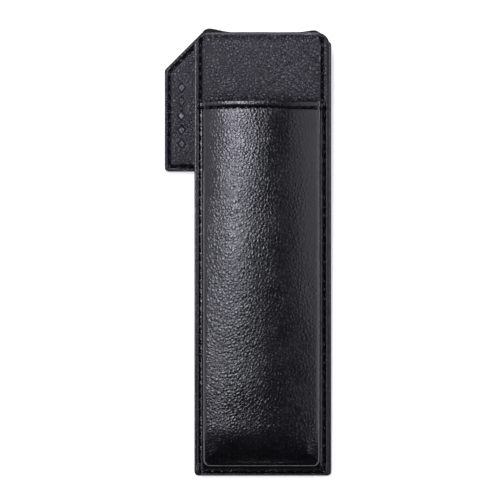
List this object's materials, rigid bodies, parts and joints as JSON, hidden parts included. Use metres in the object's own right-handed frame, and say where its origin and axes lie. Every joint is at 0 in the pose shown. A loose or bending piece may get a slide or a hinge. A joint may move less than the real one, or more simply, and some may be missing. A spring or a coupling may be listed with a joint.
{
  "type": "fountain pen case",
  "caption": "Open-topped black leather pen sleeve with a moulded pocket, a padded upper panel and a magnetic clip flap that folds back from the top.",
  "frame": {"origin": "bottom centre of the bounding box, with the case lying on its back on the closed flap's outer face", "axes": "+Z out of the pocket's front face; +Y along the length, from the closed lower end to the open mouth and the fold; +X to the right, away from the flap's grip tab"},
  "size_m": [0.0616, 0.165, 0.02],
  "materials": {
    "leather": "smooth semi-gloss black leather with a fine grain",
    "grained_leather": "matte black leather with a fine pebble grain",
    "lining": "woven black lining cloth",
    "foam": "thin dark padding",
    "board": "thin stiffening sheet",
    "steel": "plain steel disc",
    "magnet": "nickel-plated disc magnet",
    "thread": "waxed black polyester thread"
  },
  "bodies": {
    "sleeve": {"back_cover": "leather", "back_stiffener": "board", "steel_discs": "steel", "back_lining": "lining", "panel_foam": "foam", "upper_panel": "grained_leather", "pocket_front": "leather", "pocket_lining": "lining", "mouth_hem": "leather", "edge_stitching": "thread", "mouth_stitching": "thread"},
    "strap": {"fold_strap": "grained_leather", "fold_strap_lining": "grained_leather"},
    "flap": {"flap_outer_leather": "grained_leather", "flap_stiffener": "board", "flap_magnets": "magnet", "flap_inner_leather": "grained_leather", "flap_stitching": "thread"}
  },
  "joints": [
    {"name": "back_crease", "type": "hinge", "parent": "sleeve", "child": "strap", "pos_m": [0.0055, 0.0819, 0.0044], "axis": [1, 0, 0], "range_deg": [0, 90]},
    {"name": "flap_crease", "type": "hinge", "parent": "strap", "child": "flap", "pos_m": [0.0055, 0.0819, 0.0013], "axis": [1, 0, 0], "range_deg": [0, 90]}
  ]
}
